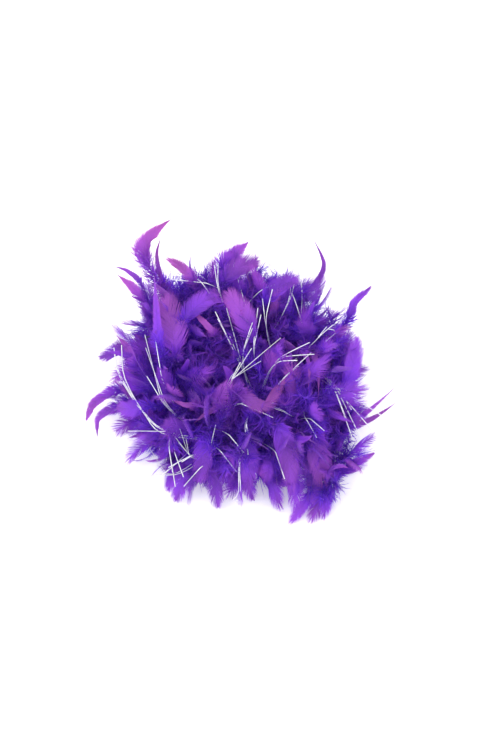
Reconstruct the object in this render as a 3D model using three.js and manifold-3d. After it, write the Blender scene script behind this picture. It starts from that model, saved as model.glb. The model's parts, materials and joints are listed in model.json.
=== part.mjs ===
// A feather boa with tinsel, lying on a surface in a loose coil of two layers.
// Millimetres, +Z up, origin at the middle of the underside of the whole pile.

import * as THREE from "three";
import { mergeVertices } from "three/addons/utils/BufferGeometryUtils.js";
import Module from "manifold-3d";

const wasm = await Module();
wasm.setup();

// The twisted core cord that everything is bound to.
const cord = { diameter: 4, sides: 8, steps: 80 };

// Gaps between pieces that touch on the real boa.
const clearance = { bore: 0.3, seat: 0.3, turns: 2.5, joint: 0.3 };

// One bunch of feathers, as the soft sleeve that it fills round the cord.
const bunch = {
  radius: 22,
  pressed: 5,
  sides: 10,
  lobes: 5,
  ruffle: 0.14,
  faceRadius: 16,
  shoulder: 9,
  gap: 6,
};

// How many bunches each stretch of the boa carries.
const bunchCount = { lowerEnd: 1, coil: 29, upperEnd: 1 };

// The coil runs anticlockwise from the lower end on the surface, in to the tight turn,
// up to the second layer and out again to the upper end. Places along it are in turns.
const coil = {
  centre: [-8, -12],
  turns: 3.57,
  startAngle: -52,
  tightRadius: 41,
  tightTurn: 1.85,
  tightSpread: 0.1,
  climbTurns: 0.6,
  flare: 42,
  flareTurns: 0.16,
};

// The two ends lift at these steps of the cord, counted from the nearer end.
const endJoint = { step: 4, faceGap: 4, faceRadius: 6.5, shoulder: 16 };

const whipping = { length: 8, thickness: 1.6 };
const knot = { radius: 6, length: 11, pocket: 7 };

const tinsel = {
  strands: 5,
  length: 66,
  width: 1.4,
  thickness: 0.8,
  collarLength: 3,
  collarWall: 1.4,
  fan: 17,
  lean: 0.05,
};

const plume = {
  quillWidth: 1.6,
  quillShare: 0.3,
  thickness: 1.6,
  crown: 0.08,
  tipWidth: 1,
  straight: 24,
  steps: 8,
};

// Tufts of tinsel: the bunch that each follows, and its middle strand's angle above the surface.
const tinselTufts = [
  { after: 18, aim: 95 },
  { after: 20, aim: 75 },
  { after: 22, aim: 42 },
  { after: 23, aim: 34 },
  { after: 24, aim: 26 },
  { after: 25, aim: 64 },
  { after: 27, aim: 48 },
  { after: 28, aim: 64 },
];

// Feathers that stand out of the pile: the bunch that each follows, its tip and its widest width.
// A feather with a via leaves the cord that way before it turns to its tip.
const plumes = [
  { name: "plume_tail", after: 0, tip: [84, -170, 4], width: 26, via: [0, 0, 1] },
  { name: "plume_blunt_right", after: 0, tip: [148, -118, 12], width: 24 },
  { name: "plume_split_right", after: 2, tip: [183.7, -16, 24], width: 18 },
  { name: "plume_strap_right", after: 3, tip: [156, 104, 72], width: 16, via: [0.82, 0.57, 0] },
  { name: "plume_thin_right", after: 4, tip: [94, 155, 102], width: 12, via: [0.4, 0.92, 0] },
  { name: "plume_back", after: 5, tip: [-24, 164, 20], width: 26 },
  { name: "plume_tall_left", after: 6, tip: [-88, 170, 130], width: 22, via: [-0.5, 0.86, 0] },
  { name: "plume_back_left", after: 7, tip: [-172, 40, 20], width: 24 },
  { name: "plume_curled_left", after: 8, tip: [-184, -36, 16], width: 18 },
  { name: "plume_front_left", after: 9, tip: [-92, -146, 8], width: 26 },
  { name: "plume_front", after: 10, tip: [16, -164, 6], width: 30 },
  { name: "plume_top", after: 29, tip: [0, 152, 112], width: 24 },
  { name: "plume_side_left", after: 31, tip: [-140, 122, 82], width: 18 },
];

// The side that the plumes show: up, and towards the front.
const plumeFacing = new THREE.Vector3(0, -0.45, 0.9);

const boreRadius = (cord.diameter / 2 + clearance.bore) / Math.cos(Math.PI / bunch.sides);
const pitch = 2 * bunch.radius + clearance.turns;
const lowerHeight = bunch.radius - bunch.pressed;
const whippingStart = knot.pocket + clearance.seat;

class CoilRoute extends THREE.Curve {
  constructor() {
    super();
    this.arcLengthDivisions = 1200;
  }

  getPoint(t, target = new THREE.Vector3()) {
    const turn = t * coil.turns;
    const fromTight = turn - coil.tightTurn;
    const flared = Math.max(1 - turn / coil.flareTurns, 0);
    const opening = Math.hypot(fromTight, coil.tightSpread) - coil.tightSpread;
    const radius = coil.tightRadius + pitch * opening + coil.flare * flared ** 2;
    const climbed = THREE.MathUtils.smoothstep(fromTight, -coil.climbTurns / 2, coil.climbTurns / 2);
    const angle = THREE.MathUtils.degToRad(coil.startAngle) + 2 * Math.PI * turn;
    const [x, y] = coil.centre;
    return target.set(
      x + radius * Math.cos(angle),
      y + radius * Math.sin(angle),
      lowerHeight + pitch * climbed,
    );
  }
}

const route = new CoilRoute();
const routeLength = route.getLength();
const stepLength = routeLength / cord.steps;
const stations = route.getSpacedPoints(cord.steps);
const frames = route.computeFrenetFrames(cord.steps);

// The place and directions at a distance along the cord. Between two stations it is straight.
function onCord(distance) {
  const step = THREE.MathUtils.clamp(Math.floor(distance / stepLength), 0, cord.steps - 1);
  const share = distance / stepLength - step;
  const between = (list) => list[step].clone().lerp(list[step + 1], share);
  return {
    point: between(stations),
    along: between(frames.tangents).normalize(),
    normal: between(frames.normals),
    binormal: between(frames.binormals),
  };
}

// Lays a shape that was turned about Y along the cord, with Y as the distance along it.
function layAlongCord(geometry, change = (radius) => radius) {
  const places = geometry.attributes.position;
  for (let i = 0; i < places.count; i += 1) {
    const angle = Math.atan2(places.getZ(i), places.getX(i));
    const distance = places.getY(i);
    const radius = change(Math.hypot(places.getX(i), places.getZ(i)), angle, distance);
    const { point, normal, binormal } = onCord(distance);
    point.addScaledVector(normal, radius * Math.cos(angle));
    point.addScaledVector(binormal, -radius * Math.sin(angle));
    places.setXYZ(i, point.x, point.y, Math.max(point.z, 0));
  }
  geometry.computeVertexNormals();
  return geometry;
}

function turned(profile, sides) {
  return new THREE.LatheGeometry(profile.map(([radius, distance]) => new THREE.Vector2(radius, distance)), sides);
}

class CordStretch extends THREE.Curve {
  constructor(from, to) {
    super();
    this.from = from;
    this.to = to;
  }

  getPoint(t, target = new THREE.Vector3()) {
    return route.getPointAt(THREE.MathUtils.lerp(this.from, this.to, t) / routeLength, target);
  }
}

function cordTube(fromStep, toStep) {
  const from = fromStep * stepLength + (fromStep > 0 ? clearance.joint / 2 : 0);
  const to = toStep * stepLength - (toStep < cord.steps ? clearance.joint / 2 : 0);
  const section = new THREE.Shape();
  for (let side = 0; side < cord.sides; side += 1) {
    const angle = (2 * Math.PI * side) / cord.sides;
    const corner = [(cord.diameter / 2) * Math.cos(angle), (cord.diameter / 2) * Math.sin(angle)];
    if (side === 0) section.moveTo(...corner);
    else section.lineTo(...corner);
  }
  return new THREE.ExtrudeGeometry(section, {
    steps: toStep - fromStep,
    extrudePath: new CordStretch(from, to),
  });
}

// The radius of a bunch at a distance from one of its faces.
function shoulderRadius(inside, face) {
  const share = THREE.MathUtils.clamp(inside / face.shoulder, 0, 1);
  return THREE.MathUtils.lerp(face.radius, bunch.radius, share);
}

function bunchSleeve(from, to, startFace, endFace, turn) {
  const firstStation = Math.ceil(from / stepLength);
  const inner = [];
  for (let step = firstStation; step * stepLength < to; step += 1) inner.push(step * stepLength);
  const bore = [from, ...inner, to];
  const shoulders = [from + startFace.shoulder, to - endFace.shoulder];
  const clear = shoulders.filter((place) => bore.every((other) => Math.abs(place - other) > 4));
  const outer = [...bore, ...clear].sort((a, b) => a - b);
  const outerRadius = (place) =>
    Math.min(shoulderRadius(place - from, startFace), shoulderRadius(to - place, endFace));
  const profile = [
    ...outer.map((place) => [outerRadius(place), place]),
    ...bore.reverse().map((place) => [boreRadius, place]),
    [outerRadius(from), from],
  ];
  const ruffled = (radius, angle) => {
    if (radius < boreRadius + 1) return radius;
    const dip = (bunch.ruffle / 2) * (1 + Math.cos(bunch.lobes * angle + turn));
    return radius * (1 - dip);
  };
  return layAlongCord(turned(profile, bunch.sides), ruffled);
}

function ringOnCord(from, to, outerRadius) {
  const profile = [
    [outerRadius, from],
    [outerRadius, to],
    [boreRadius, to],
    [boreRadius, from],
    [outerRadius, from],
  ];
  return layAlongCord(turned(profile, bunch.sides));
}

// A knot closes over the cord's end. Outwards is 1 at the upper end and -1 at the lower end.
function endKnot(cordEnd, outwards) {
  const face = cordEnd - outwards * knot.pocket;
  const profile = [
    [0, cordEnd + outwards * clearance.seat],
    [boreRadius, cordEnd + outwards * clearance.seat],
    [boreRadius, face],
    [knot.radius * 0.7, face],
    [knot.radius, face + outwards * knot.length * 0.35],
    [knot.radius * 0.85, face + outwards * knot.length * 0.75],
    [0, face + outwards * knot.length],
  ];
  if (outwards < 0) profile.reverse();
  return layAlongCord(turned(profile, bunch.sides));
}

// The horizontal way out of the pile at a place on the cord, and the way up from there, both
// square to the cord.
function wayOut({ point, along }) {
  const out = new THREE.Vector3(point.x - coil.centre[0], point.y - coil.centre[1], 0);
  out.addScaledVector(along, -out.dot(along)).normalize();
  const up = new THREE.Vector3().crossVectors(along, out).normalize();
  return { out, up: up.z < 0 ? up.negate() : up };
}

function solidOf(geometry) {
  const bare = geometry.clone();
  bare.deleteAttribute("normal");
  bare.deleteAttribute("uv");
  const merged = mergeVertices(bare, 1e-4);
  return new wasm.Manifold(
    new wasm.Mesh({
      numProp: 3,
      vertProperties: new Float32Array(merged.attributes.position.array),
      triVerts: new Uint32Array(merged.index.array),
    }),
  );
}

function geometryOf(solid) {
  const { numProp, vertProperties, triVerts } = solid.getMesh();
  const places = new Float32Array((vertProperties.length / numProp) * 3);
  for (let i = 0; i < places.length / 3; i += 1) {
    for (let axis = 0; axis < 3; axis += 1) places[3 * i + axis] = vertProperties[numProp * i + axis];
  }
  const geometry = new THREE.BufferGeometry();
  geometry.setAttribute("position", new THREE.BufferAttribute(places, 3));
  geometry.setIndex(new THREE.BufferAttribute(new Uint32Array(triVerts), 1));
  geometry.computeVertexNormals();
  return geometry;
}

// A tuft of tinsel: a collar tied round the cord, with strands that fan out of it.
function tinselTuft(place, aim) {
  const half = tinsel.collarLength / 2;
  const collar = ringOnCord(place - half, place + half, boreRadius + tinsel.collarWall);
  let tuft = solidOf(collar);
  const at = onCord(place);
  const { out, up } = wayOut(at);
  for (let strand = 0; strand < tinsel.strands; strand += 1) {
    const fromMiddle = strand - (tinsel.strands - 1) / 2;
    const angle = THREE.MathUtils.degToRad(aim + fromMiddle * tinsel.fan);
    const lean = strand % 2 ? tinsel.lean : -tinsel.lean;
    const way = out.clone().multiplyScalar(Math.cos(angle));
    way.addScaledVector(up, Math.sin(angle)).addScaledVector(at.along, lean).normalize();
    const root = boreRadius + tinsel.collarWall / 2;
    const strip = new THREE.BoxGeometry(tinsel.width, tinsel.length, tinsel.thickness);
    strip.translate(0, root + tinsel.length / 2, 0);
    const across = at.along.clone().addScaledVector(way, -at.along.dot(way)).normalize();
    const face = new THREE.Vector3().crossVectors(across, way);
    strip.applyMatrix4(new THREE.Matrix4().makeBasis(across, way, face).setPosition(at.point));
    tuft = tuft.add(solidOf(strip));
  }
  return geometryOf(tuft);
}

// A feather that stands out: a bare quill from the cord, then a vane that widens and comes to its tip.
function plumeVane({ after, tip, width, via }) {
  const at = onCord(gapAfter(after));
  const end = new THREE.Vector3(...tip);
  const way = via ? new THREE.Vector3(...via) : end.clone().sub(at.point);
  way.addScaledVector(at.along, -way.dot(at.along)).normalize();
  const root = at.point.clone().addScaledVector(way, cord.diameter / 2 + clearance.seat);
  const bend = at.point.clone().addScaledVector(way, bunch.radius + plume.straight);
  const rib = new THREE.QuadraticBezierCurve3(root, bend, end);
  const vane = new THREE.BoxGeometry(1, 1, plume.thickness, 2, plume.steps, 1);
  const places = vane.attributes.position;
  for (let i = 0; i < places.count; i += 1) {
    const along = places.getY(i) + 0.5;
    const side = places.getX(i);
    const spread = THREE.MathUtils.clamp((along - plume.quillShare) / (1 - plume.quillShare), 0, 1);
    const leaf = width * Math.sin(Math.PI * spread ** 0.8);
    const wide = Math.max(leaf, along < 0.5 ? plume.quillWidth : plume.tipWidth);
    const ahead = rib.getTangent(along);
    const across = new THREE.Vector3().crossVectors(ahead, plumeFacing).normalize();
    const face = new THREE.Vector3().crossVectors(across, ahead);
    const point = rib.getPoint(along).addScaledVector(across, side * wide);
    point.addScaledVector(face, places.getZ(i) - Math.abs(side) * wide * plume.crown);
    places.setXYZ(i, point.x, point.y, Math.max(point.z, 0));
  }
  vane.computeVertexNormals();
  return vane;
}

// Where each bunch starts and ends along the cord, stretch by stretch.
function bunchPlaces() {
  const lowerJoint = endJoint.step * stepLength;
  const upperJoint = (cord.steps - endJoint.step) * stepLength;
  const endRoom = whippingStart + whipping.length + bunch.gap;
  const stretches = [
    { count: bunchCount.lowerEnd, from: endRoom, to: lowerJoint - endJoint.faceGap },
    { count: bunchCount.coil, from: lowerJoint + endJoint.faceGap, to: upperJoint - endJoint.faceGap },
    { count: bunchCount.upperEnd, from: upperJoint + endJoint.faceGap, to: routeLength - endRoom },
  ];
  const plainFace = { radius: bunch.faceRadius, shoulder: bunch.shoulder };
  const jointFace = { radius: endJoint.faceRadius, shoulder: endJoint.shoulder };
  return stretches.flatMap(({ count, from, to }, stretch) => {
    const length = (to - from - (count - 1) * bunch.gap) / count;
    return Array.from({ length: count }, (_, i) => {
      const start = from + i * (length + bunch.gap);
      return {
        from: start,
        to: start + length,
        startFace: stretch > 0 && i === 0 ? jointFace : plainFace,
        endFace: stretch < 2 && i === count - 1 ? jointFace : plainFace,
      };
    });
  });
}

const finishes = {
  feather: { color: 0x6934ae, roughness: 0.75, metalness: 0 },
  plume: { color: 0x9c60ce, roughness: 0.6, metalness: 0 },
  cord: { color: 0x3c1c78, roughness: 0.9, metalness: 0 },
  thread: { color: 0x4a2488, roughness: 0.8, metalness: 0 },
  tinsel: { color: 0xd8d8e0, roughness: 0.2, metalness: 1 },
};

const boa = new THREE.Group();

function addPiece(name, geometry, finish) {
  const piece = new THREE.Mesh(geometry, new THREE.MeshStandardMaterial(finishes[finish]));
  piece.name = name;
  boa.add(piece);
}

const twoDigits = (number) => String(number).padStart(2, "0");
const bunches = bunchPlaces();

// The middle of the gap after a bunch, where quills and tinsel are tied in. 0 is before the first.
function gapAfter(number) {
  if (number === 0) return bunches[0].from - bunch.gap / 2;
  if (number === bunches.length) return bunches[number - 1].to + bunch.gap / 2;
  return (bunches[number - 1].to + bunches[number].from) / 2;
}
const lastJointStep = cord.steps - endJoint.step;

addPiece("core_cord_lower_end", cordTube(0, endJoint.step), "cord");
addPiece("core_cord", cordTube(endJoint.step, lastJointStep), "cord");
addPiece("core_cord_upper_end", cordTube(lastJointStep, cord.steps), "cord");

const whippingRadius = boreRadius + whipping.thickness;
addPiece("lower_end_knot", endKnot(0, -1), "cord");
addPiece("upper_end_knot", endKnot(routeLength, 1), "cord");
addPiece(
  "lower_end_whipping",
  ringOnCord(whippingStart, whippingStart + whipping.length, whippingRadius),
  "thread",
);
addPiece(
  "upper_end_whipping",
  ringOnCord(routeLength - whippingStart - whipping.length, routeLength - whippingStart, whippingRadius),
  "thread",
);

bunches.forEach(({ from, to, startFace, endFace }, i) => {
  addPiece(`feather_bunch_${twoDigits(i + 1)}`, bunchSleeve(from, to, startFace, endFace, i), "feather");
});

tinselTufts.forEach(({ after, aim }, i) => {
  addPiece(`tinsel_${twoDigits(i + 1)}`, tinselTuft(gapAfter(after), aim), "tinsel");
});

plumes.forEach((feather) => addPiece(feather.name, plumeVane(feather), "plume"));

// The origin goes to the middle of the underside.
const pile = new THREE.Box3().setFromObject(boa);
const middle = pile.getCenter(new THREE.Vector3());
boa.position.set(-middle.x, -middle.y, -pile.min.z);

export default boa;
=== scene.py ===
import json
import math

import bmesh
import bpy
import numpy as np
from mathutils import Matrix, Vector

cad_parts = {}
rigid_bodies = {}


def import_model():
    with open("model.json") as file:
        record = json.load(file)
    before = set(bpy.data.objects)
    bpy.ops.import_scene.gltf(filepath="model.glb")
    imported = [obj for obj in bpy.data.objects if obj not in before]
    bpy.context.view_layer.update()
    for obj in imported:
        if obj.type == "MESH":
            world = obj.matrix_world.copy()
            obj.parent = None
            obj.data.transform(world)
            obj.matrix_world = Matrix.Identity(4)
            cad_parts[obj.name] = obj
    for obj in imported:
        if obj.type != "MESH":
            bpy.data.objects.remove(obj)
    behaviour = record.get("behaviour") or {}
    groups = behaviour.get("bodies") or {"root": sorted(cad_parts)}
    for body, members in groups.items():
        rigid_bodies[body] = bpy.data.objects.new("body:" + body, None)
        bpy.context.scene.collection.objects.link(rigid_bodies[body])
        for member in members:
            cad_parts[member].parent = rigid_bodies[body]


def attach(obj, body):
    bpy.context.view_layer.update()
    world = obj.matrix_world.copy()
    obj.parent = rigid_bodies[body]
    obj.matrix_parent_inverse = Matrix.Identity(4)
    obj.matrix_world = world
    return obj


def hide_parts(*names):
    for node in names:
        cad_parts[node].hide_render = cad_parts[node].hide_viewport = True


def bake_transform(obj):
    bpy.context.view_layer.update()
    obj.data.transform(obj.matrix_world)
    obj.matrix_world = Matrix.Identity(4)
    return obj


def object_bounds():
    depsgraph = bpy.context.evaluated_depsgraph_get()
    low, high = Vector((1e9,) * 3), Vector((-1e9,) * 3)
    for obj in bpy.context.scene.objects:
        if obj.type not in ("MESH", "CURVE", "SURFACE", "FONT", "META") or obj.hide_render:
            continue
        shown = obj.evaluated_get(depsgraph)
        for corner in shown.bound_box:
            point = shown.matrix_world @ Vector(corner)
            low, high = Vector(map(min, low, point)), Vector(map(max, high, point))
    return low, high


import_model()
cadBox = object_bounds()

mm = 0.001

# The cord's route, in millimetres and turns. It is the same route that the CAD cord follows.
coil = {
    "centre": (-8.0, -12.0),
    "turns": 3.57,
    "startAngle": -52.0,
    "tightRadius": 41.0,
    "tightTurn": 1.85,
    "tightSpread": 0.1,
    "climbTurns": 0.6,
    "flare": 42.0,
    "flareTurns": 0.16,
    "pitch": 46.5,
    "lowerHeight": 17.0,
    "cordSteps": 80,
    "jointStep": 4,
}


def routeAt(turn):
    fromTight = turn - coil["tightTurn"]
    flared = np.maximum(1 - turn / coil["flareTurns"], 0)
    opening = np.hypot(fromTight, coil["tightSpread"]) - coil["tightSpread"]
    radius = coil["tightRadius"] + coil["pitch"] * opening + coil["flare"] * flared**2
    share = np.clip(fromTight / coil["climbTurns"] + 0.5, 0, 1)
    climbed = share * share * (3 - 2 * share)
    angle = math.radians(coil["startAngle"]) + 2 * math.pi * turn
    x = coil["centre"][0] + radius * np.cos(angle)
    y = coil["centre"][1] + radius * np.sin(angle)
    return np.stack([x, y, coil["lowerHeight"] + coil["pitch"] * climbed], -1) * mm


finePoints = routeAt(np.linspace(0, coil["turns"], 6001))
fineLengths = np.r_[0, np.cumsum(np.linalg.norm(np.diff(finePoints, axis=0), axis=1))]
cordLength = float(fineLengths[-1])
stepLength = cordLength / coil["cordSteps"]
lowerJoint = coil["jointStep"] * stepLength
upperJoint = cordLength - lowerJoint


# The points at these distances along the cord. Past its ends the cord runs on straight.
def onCord(distance):
    distance = np.atleast_1d(distance).astype(float)
    inside = np.clip(distance, 0, cordLength)
    place = np.stack([np.interp(inside, fineLengths, finePoints[:, i]) for i in range(3)], 1)
    beyond = distance - inside
    ends = np.where(beyond[:, None] < 0, alongCord(0.0), alongCord(cordLength))
    return place + ends * beyond[:, None]


def alongCord(distance):
    reach = 1 * mm
    distance = np.clip(np.atleast_1d(distance).astype(float), reach, cordLength - reach)
    ends = [
        np.stack([np.interp(distance + side * reach, fineLengths, finePoints[:, i]) for i in range(3)], 1)
        for side in (-1, 1)
    ]
    return unit(ends[1] - ends[0])


def unit(vectors):
    return vectors / np.maximum(np.linalg.norm(vectors, axis=-1, keepdims=True), 1e-12)


def fadeBetween(low, high, value):
    share = np.clip((value - low) / (high - low), 0, 1)
    return share * share * (3 - 2 * share)


# Camera, lights and floor, in metres and watts
view = {"elevation": 60.0, "distance": 1.42, "lens": 57.5, "sensor": 36, "target": (0.0, 0.0073, 0.0525)}
lamps = {
    "keyLight": {"power": 9.0, "size": 0.9, "place": (-0.7, -0.35, 1.35)},
    "fillLight": {"power": 3.5, "size": 1.2, "place": (0.9, -0.8, 1.0)},
    "rimLight": {"power": 5.0, "size": 0.9, "place": (0.2, 1.2, 0.9)},
}
lampTarget = (0, 0, 0.05)
sky = 1.1
paleFloor = {"half": 6.0, "drop": 0.3 * mm, "colour": (0.93, 0.93, 0.935, 1), "roughness": 0.9, "glow": 0.25}


def addCamera():
    data = bpy.data.cameras.new("camera")
    data.lens = view["lens"]
    data.sensor_fit = "VERTICAL"
    data.sensor_height = view["sensor"]
    camera = bpy.data.objects.new("camera", data)
    bpy.context.collection.objects.link(camera)
    rise = math.radians(view["elevation"])
    target = Vector(view["target"])
    camera.location = target + view["distance"] * Vector((0, -math.cos(rise), math.sin(rise)))
    camera.rotation_euler = (target - camera.location).to_track_quat("-Z", "Y").to_euler()
    bpy.context.scene.camera = camera


def addLight(name, power, size, place):
    data = bpy.data.lights.new(name, "AREA")
    data.energy = power
    data.size = size
    lamp = bpy.data.objects.new(name, data)
    bpy.context.collection.objects.link(lamp)
    lamp.location = place
    lamp.rotation_euler = (Vector(lampTarget) - Vector(place)).to_track_quat("-Z", "Y").to_euler()


def addFloor():
    mesh = bpy.data.meshes.new("floor")
    half = paleFloor["half"]
    corners = [(-half, -half, 0), (half, -half, 0), (half, half, 0), (-half, half, 0)]
    mesh.from_pydata(corners, [], [(0, 1, 2, 3)])
    floor = bpy.data.objects.new("floor", mesh)
    bpy.context.collection.objects.link(floor)
    floor.location.z = -paleFloor["drop"]
    material = bpy.data.materials.new("paleFloor")
    material.use_nodes = True
    shader = material.node_tree.nodes["Principled BSDF"]
    shader.inputs["Base Color"].default_value = paleFloor["colour"]
    shader.inputs["Roughness"].default_value = paleFloor["roughness"]
    shader.inputs["Emission Color"].default_value = (1, 1, 1, 1)
    shader.inputs["Emission Strength"].default_value = paleFloor["glow"]
    mesh.materials.append(material)


def addStudio():
    addCamera()
    for name, lamp in lamps.items():
        addLight(name, **lamp)
    world = bpy.data.worlds.new("softSky")
    world.use_nodes = True
    world.node_tree.nodes["Background"].inputs["Color"].default_value = (1, 1, 1, 1)
    world.node_tree.nodes["Background"].inputs["Strength"].default_value = sky
    bpy.context.scene.world = world
    bpy.context.scene.view_settings.view_transform = "Standard"
    addFloor()
    print("studio: camera, three lights and the floor")


addStudio()


# Materials


class NodeTree:
    def add(self, kind, **settings):
        node = self.tree.nodes.new(kind)
        for key, value in settings.items():
            setattr(node, key, value)
        return node

    def join(self, source, target):
        self.tree.links.new(source, target)


class Finish(NodeTree):
    def __init__(self, name):
        self.material = bpy.data.materials.new(name)
        self.material.use_nodes = True
        self.tree = self.material.node_tree
        self.shader = self.tree.nodes["Principled BSDF"]
        self.output = self.tree.nodes["Material Output"]

    def math(self, operation, first, second, clamp=False):
        node = self.add("ShaderNodeMath", operation=operation, use_clamp=clamp)
        for socket, value in zip(node.inputs, (first, second)):
            if isinstance(value, (int, float)):
                socket.default_value = value
            else:
                self.join(value, socket)
        return node.outputs[0]

    def mix(self, share, first, second):
        node = self.add("ShaderNodeMix", data_type="RGBA", blend_type="MIX")
        for index, value in ((0, share), (6, first), (7, second)):
            if isinstance(value, (int, float, tuple)):
                node.inputs[index].default_value = value
            else:
                self.join(value, node.inputs[index])
        return node.outputs[2]

    def noise(self, scale, detail):
        place = self.add("ShaderNodeTexCoord").outputs["Object"]
        node = self.add("ShaderNodeTexNoise")
        node.inputs["Scale"].default_value = scale
        node.inputs["Detail"].default_value = detail
        self.join(place, node.inputs["Vector"])
        return node.outputs["Fac"]

    def ramp(self, share, stops):
        node = self.add("ShaderNodeValToRGB")
        node.color_ramp.interpolation = "B_SPLINE" if len(stops) > 3 else "LINEAR"
        marks = node.color_ramp.elements
        while len(marks) < len(stops):
            marks.new(0.5)
        for mark, (position, colour) in zip(marks, stops):
            mark.position = position
            mark.color = (*colour, 1)
        self.join(share, node.inputs["Fac"])
        return node.outputs["Color"]

    def bump(self, height, strength, distance):
        node = self.add("ShaderNodeBump")
        node.inputs["Strength"].default_value = strength
        node.inputs["Distance"].default_value = distance
        self.join(height, node.inputs["Height"])
        self.join(node.outputs["Normal"], self.shader.inputs["Normal"])

    def set(self, **values):
        for name, value in values.items():
            self.shader.inputs[name.replace("_", " ")].default_value = value


# Dyed feather with painted light: the plumage map runs from root to tip one way and through the tints the
# other. The colour goes from a dark root, which is painted shade deep in the pile, to a pale magenta tip,
# which is painted light shining through the barbs.
dyeAndPaintedLight = {
    "root": (0.085, 0.022, 0.42),
    "down": (0.160, 0.030, 0.70),
    "vane": (0.23, 0.045, 0.66),
    "tip": (0.38, 0.09, 0.60),
    "warm": (0.50, 0.11, 0.44),
    "stops": (0.0, 0.3, 0.62, 1.0),
    "warmth": 2.4,
    "stripes": 38.0,
    "stripeDepth": 0.2,
    "streaks": 420,
    "streakDepth": 0.3,
    "darkest": 0.85,
    "grain": 900,
    "sheen": (0.78, 0.6, 1, 1),
    "glow": 0.4,
}
# Tinsel: dull and bright silver over a noise, which are painted glints.
silver = {"dull": (0.80, 0.80, 0.85), "bright": (0.98, 0.98, 0.99), "paintedGlintsAndCreases": 140, "grain": 400}


def dyedFeatherWithPaintedLight():
    m = Finish("dyedFeatherWithPaintedLight")
    place = m.add("ShaderNodeUVMap", uv_map="plumage")
    parts = m.add("ShaderNodeSeparateXYZ")
    m.join(place.outputs[0], parts.inputs[0])
    tone, tint = parts.outputs[0], parts.outputs[1]
    colours = [dyeAndPaintedLight[part] for part in ("root", "down", "vane", "tip")]
    # The tone ramp paints shade at the roots and light at the tips.
    colour = m.ramp(tone, list(zip(dyeAndPaintedLight["stops"], colours)))
    warmth = m.math("MULTIPLY", m.math("SUBTRACT", tint, 0.5, True), dyeAndPaintedLight["warmth"])
    warmth = m.math("MULTIPLY", warmth, tone)
    colour = m.mix(warmth, colour, (*dyeAndPaintedLight["warm"], 1))
    swing = m.math("SINE", m.math("MULTIPLY", tint, dyeAndPaintedLight["stripes"]), 0.0)
    streak = m.noise(dyeAndPaintedLight["streaks"], 2.0)
    shade = m.math("ADD", m.math("MULTIPLY", swing, dyeAndPaintedLight["stripeDepth"]), dyeAndPaintedLight["darkest"])
    shade = m.math("ADD", shade, m.math("MULTIPLY", streak, dyeAndPaintedLight["streakDepth"]))
    scaled = m.add("ShaderNodeVectorMath", operation="SCALE")
    m.join(colour, scaled.inputs[0])
    m.join(shade, scaled.inputs["Scale"])
    colour = scaled.outputs[0]
    m.join(colour, m.shader.inputs["Base Color"])
    m.join(m.math("ADD", m.math("MULTIPLY", streak, 0.25), 0.45), m.shader.inputs["Roughness"])
    m.set(Sheen_Weight=0.35, Sheen_Roughness=0.35, Sheen_Tint=dyeAndPaintedLight["sheen"], Specular_IOR_Level=0.35)
    m.bump(m.noise(dyeAndPaintedLight["grain"], 2.0), 0.25, 0.2 * mm)
    through = m.add("ShaderNodeBsdfTranslucent")
    m.join(colour, through.inputs["Color"])
    both = m.add("ShaderNodeMixShader")
    both.inputs[0].default_value = dyeAndPaintedLight["glow"]
    m.join(m.shader.outputs[0], both.inputs[1])
    m.join(through.outputs[0], both.inputs[2])
    m.join(both.outputs[0], m.output.inputs["Surface"])
    return m.material


def silverTinsel():
    m = Finish("silverTinsel")
    # The noise paints glints into the base colour, bright against dull, and it also varies the roughness, as
    # creases do.
    paintedGlintsAndCreases = m.noise(silver["paintedGlintsAndCreases"], 3.0)
    colour = m.ramp(paintedGlintsAndCreases, [(0.3, silver["dull"]), (0.6, silver["bright"])])
    m.join(colour, m.shader.inputs["Base Color"])
    m.join(m.math("ADD", m.math("MULTIPLY", paintedGlintsAndCreases, 0.3), 0.2), m.shader.inputs["Roughness"])
    m.set(Metallic=0.6)
    m.bump(m.noise(silver["grain"], 2.0), 0.15, 0.1 * mm)
    return m.material


def twistedCotton(name, dark, pale, scale):
    m = Finish(name)
    fibre = m.noise(scale, 4.0)
    m.join(m.ramp(fibre, [(0.3, dark), (0.72, pale)]), m.shader.inputs["Base Color"])
    m.join(m.math("ADD", m.math("MULTIPLY", fibre, 0.2), 0.7), m.shader.inputs["Roughness"])
    m.set(Sheen_Weight=0.3, Sheen_Roughness=0.5)
    m.bump(m.noise(scale * 2.5, 3.0), 0.6, 0.2 * mm)
    return m.material


featherFinish = dyedFeatherWithPaintedLight()
tinselFinish = silverTinsel()
cordFinish = twistedCotton("dyedCotton", (0.016, 0.006, 0.08), (0.07, 0.022, 0.24), 500)
threadFinish = twistedCotton("bindingThread", (0.03, 0.01, 0.12), (0.14, 0.045, 0.36), 900)


# Meshes
def newPiece(name, points, faces, material):
    mesh = bpy.data.meshes.new(name)
    mesh.from_pydata([tuple(p) for p in points], [], [tuple(f) for f in faces])
    mesh.materials.append(material)
    mesh.polygons.foreach_set("use_smooth", np.ones(len(mesh.polygons), bool))
    mesh.update()
    piece = bpy.data.objects.new(name, mesh)
    bpy.context.collection.objects.link(piece)
    return piece


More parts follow.
